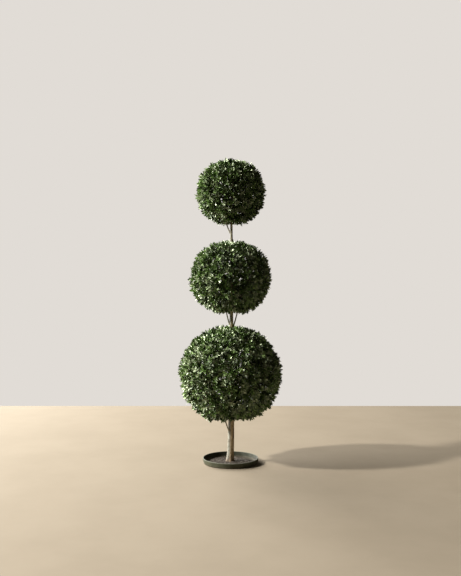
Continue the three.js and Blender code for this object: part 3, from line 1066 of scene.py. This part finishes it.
def make_dish(material):
    """The dish: a turned wall with a rounded rim and foot, faint throwing rings, not quite round."""
    angles = full_turn(DISH_SEGMENTS)
    rings = np.array([dish_ring(angles, radius, height) for radius, height in dish_profile()])
    dress(solid_piece("dish_body", ring_mesh("dish_body", rings), material), "dish")


def soil_waves(chance):
    """The waves that make the soil lumpy: how close, which way, and where each starts."""
    return [
        (chance.uniform(*LUMP_FREQUENCIES), chance.uniform(0, math.tau), chance.uniform(0, math.tau))
        for _ in range(LUMP_WAVES)]


def soil_bays(chance, angles):
    """How far the soil's edge falls back, all round."""
    bays = sum(
        np.sin(count * angles + chance.uniform(0, math.tau)) / math.sqrt(count) for count in BAY_COUNTS)
    return BAY_DEPTH * (bays - bays.max()) / np.ptp(bays)


def soil_rings():
    """The soil's rings, from its underside round its edge to its middle, how many lie below its top,
    and two rings on the bare dish beside it."""
    edge = SOIL_RADIUS - SOIL_EDGE_ROUNDING
    chance = np.random.default_rng(SOIL_SEED)
    waves = soil_waves(chance)
    angles = full_turn(SOIL_SEGMENTS)
    bays = soil_bays(chance, angles)

    def ring_at(radius, height, lumpy=0.0):
        around = radius + bays * (radius / edge) ** BAY_FADE
        x, y = around * np.cos(angles), around * np.sin(angles)
        lumps = sum(
            np.sin(pitch * (x * math.cos(way) + y * math.sin(way)) + start) * LUMP_SLOPE / pitch
            for pitch, way, start in waves)
        return np.stack([x, y, height + lumpy * lumps], axis=1)

    def surface(radius):
        share = min(1.0, (edge - radius) / (edge - SOIL_FLAT_RADIUS))
        return SOIL_AT_EDGE + (SOIL_AT_TRUNK - SOIL_AT_EDGE) * math.sin(math.pi / 2 * share)

    side = arc(edge, SOIL_FOOT + SOIL_EDGE_ROUNDING, SOIL_EDGE_ROUNDING, -1, 1)
    rings = [ring_at(INNERMOST_RING, SOIL_FOOT), *(ring_at(radius, height) for radius, height in side)]
    for radius in np.linspace(edge - INNERMOST_RING, INNERMOST_RING, SOIL_RINGS):
        rings.append(ring_at(radius, surface(radius), min(1.0, (edge - radius) / LUMP_FADE)))
    return rings, len(side), [ring_at(radius, DISH_FLOOR) for radius in (SOIL_RADIUS + SPILT_RING, edge)]


def make_soil(materials, trees):
    """The soil: a low uneven heap, with crumbs of three kinds on it and a few beside it."""
    rings, below_top, beside = soil_rings()
    bed = solid_piece("soil_bed", ring_mesh("soil_bed", np.array(rings)), materials["fine"])
    dress(bed, "soil")
    grounds = {"soil": rings[below_top:], "dish": beside}
    for kind, (ground, smallest, largest, density, seed, _, _) in CRUMBS.items():
        crumbs = grown(
            f"soil_crumbs_{kind}", ring_mesh("ground", np.array(grounds[ground]), is_closed=False),
            trees["crumbs"], materials[kind],
            smallest=smallest, largest=largest, per_square_metre=density, seed=seed)
        dress(crumbs, "soil")


def add_limb(node, x, y, out, heights, material, trees, **relief):
    """A limb and its bark, from its middle at each height and its radius at each height and angle.
    The attribute side keeps which side a corner is on: one towards +X, away from the lamps, where the
    bark's painted bounce light goes."""
    angles = full_turn(out.shape[1])
    rings = np.stack([
        x[:, None] + out * np.cos(angles), y[:, None] + out * np.sin(angles),
        np.broadcast_to(heights[:, None], out.shape)], axis=2)
    mesh = ring_mesh(node, rings)
    keep(mesh, "side", np.concatenate([np.tile(np.cos(angles), len(heights)), np.zeros(2)]))
    piece = grown(f"{node}_bark", mesh, trees["bark_relief"], material, **relief)
    shade(piece, BARK_SHARP_ANGLE)
    dress(piece, node)


def make_trunk(material, trees):
    """The trunk, with its root lobes, knots and bark."""
    count = round((TRUNK_TIP - SOIL_AT_TRUNK) / BARK_STEP)
    heights = np.linspace(SOIL_AT_TRUNK - TRUNK_SUNK, TRUNK_TIP, count)
    angles = full_turn(TRUNK_SEGMENTS)
    x, y, radius, lobe = trunk_at(heights)
    out = radius[:, None] + lobe[:, None] * np.cos(FLARE_LOBES * angles)[None, :]
    out = out + knots_at(heights, angles, radius)
    add_limb("trunk", x, y, out, heights, material, trees)


def make_shoots(material, trees):
    """The side shoots, each with finer bark than the trunk's."""
    for ball, shoot in SHOOTS:
        end = shoot_end(ball, shoot) + SHOOT_RUN_ON
        heights = np.linspace(shoot.start, end, round((end - shoot.start) / BARK_STEP))
        x, y, radius = shoot_at(ball, shoot, heights)
        out = np.broadcast_to(radius[:, None], (len(heights), SHOOT_SEGMENTS))
        node = f"shoot_{ball.name}_{shoot.name}"
        add_limb(node, x, y, out, heights, material, trees, **SHOOT_RELIEF)


def make_twigs(ball, growth, material, trees):
    """A ball's twigs: one piece for its boughs and forks, one for its leafy stems."""
    kinds = {"boughs": (range(LAST_ORDER), BOUGH_SIDES), "stems": ([LAST_ORDER], STEM_SIDES)}
    for kind, (orders, sides) in kinds.items():
        places, girths, edges, first = [], [], [], 0
        for level in orders:
            lines = growth.lines[level]
            count, points, _ = lines.shape
            index = first + np.arange(count * points).reshape(count, points)
            edges.append(np.stack([index[:, :-1].ravel(), index[:, 1:].ravel()], axis=1))
            places.append(lines.reshape(-1, 3))
            girths.append(girths_along(level, lines).ravel())
            first += count * points
        mesh = point_mesh(
            "twigs", np.concatenate(places), np.concatenate(edges), girth=np.concatenate(girths))
        piece = grown(f"foliage_{ball.name}_{kind}", mesh, trees["twigs"], material, sides=sides)
        dress(piece, f"foliage_{ball.name}")


def make_leaves(ball, growth, materials, trees):
    """A ball's leaves, a piece for each shade."""
    roots, along, face, sizes, shades = leaf_places(ball, growth)
    for index, (shade_name, material) in enumerate(materials.items()):
        mine = shades == index
        mesh = point_mesh("leaves", roots[mine], along=along[mine], face=face[mine], size=sizes[mine])
        piece = grown(f"foliage_{ball.name}_leaves_{shade_name}", mesh, trees["leaves"], material)
        dress(piece, f"foliage_{ball.name}")


# Studio

def make_floor(material):
    """A plain square floor."""
    mesh = bpy.data.meshes.new("floor")
    corners = [(x * FLOOR_HALF, y * FLOOR_HALF, 0) for x, y in ((-1, -1), (1, -1), (1, 1), (-1, 1))]
    mesh.from_pydata(corners, [], [(0, 1, 2, 3)])
    mesh.materials.append(material)
    add_object("floor", mesh)


def make_world():
    """An even pale surround: one colour to look at, another to light with."""
    world = bpy.data.worlds.new("studio")
    bpy.context.scene.world = world
    world.use_nodes = True
    tree = world.node_tree
    tree.nodes.clear()
    light = made(
        tree, "ShaderNodeBackground", {"Color": colour(AMBIENT), "Strength": AMBIENT_STRENGTH})
    wall = made(tree, "ShaderNodeBackground", {"Color": colour(BACKDROP), "Strength": 1.0})
    is_seen = place(tree, "ShaderNodeLightPath").outputs["Is Camera Ray"]
    both = made(tree, "ShaderNodeMixShader", {0: is_seen, 1: light, 2: wall})
    place(tree, "ShaderNodeOutputWorld", {"Surface": both})


def add_light(name, spot, size, power, code):
    """A soft square light, aimed at the middle of the plant."""
    data = bpy.data.lights.new(name, "AREA")
    data.shape = "SQUARE"
    data.size = size
    data.energy = power
    data.color = colour(code)[:3]
    light = add_object(name, data)
    light.location = spot
    light.visible_camera = False
    aim = np.array(LIGHT_TARGET) - np.array(spot)
    light.rotation_euler = Vector(aim).to_track_quat("-Z", "Y").to_euler()


def add_camera():
    """The photograph's camera."""
    data = bpy.data.cameras.new("camera")
    data.sensor_width = CAMERA_SENSOR
    data.lens = CAMERA_LENS
    data.shift_y = CAMERA_RISE
    camera = add_object("camera", data)
    camera.location = (0.0, -CAMERA_DISTANCE, CAMERA_HEIGHT)
    camera.rotation_euler = (math.pi / 2, 0.0, 0.0)
    bpy.context.scene.camera = camera


def main():
    """Builds the plant in its dish, and the studio about it."""
    add_camera()
    mottling, splash = mottling_group(), splash_group()
    trees = {tree.name: tree for tree in (leaf_tree(), twig_tree(), bark_tree(), crumb_tree())}
    bark = bark_material(mottling, splash)
    twig = twig_material(mottling)
    leaves = {name: leaf_material(name) for name in LEAF_SHADES}
    soils = {kind: soil_material(mottling, kind) for kind in CRUMBS}
    make_dish(stoneware_material(mottling, splash))
    make_soil(soils, trees)
    make_trunk(bark, trees)
    make_shoots(bark, trees)
    for ball in BALLS:
        growth = grow_ball(ball)
        make_twigs(ball, growth, twig, trees)
        make_leaves(ball, growth, leaves, trees)
    make_floor(floor_material(mottling))
    bpy.context.scene.view_settings.view_transform = "Standard"
    make_world()
    for light in LIGHTS:
        add_light(*light)


main()
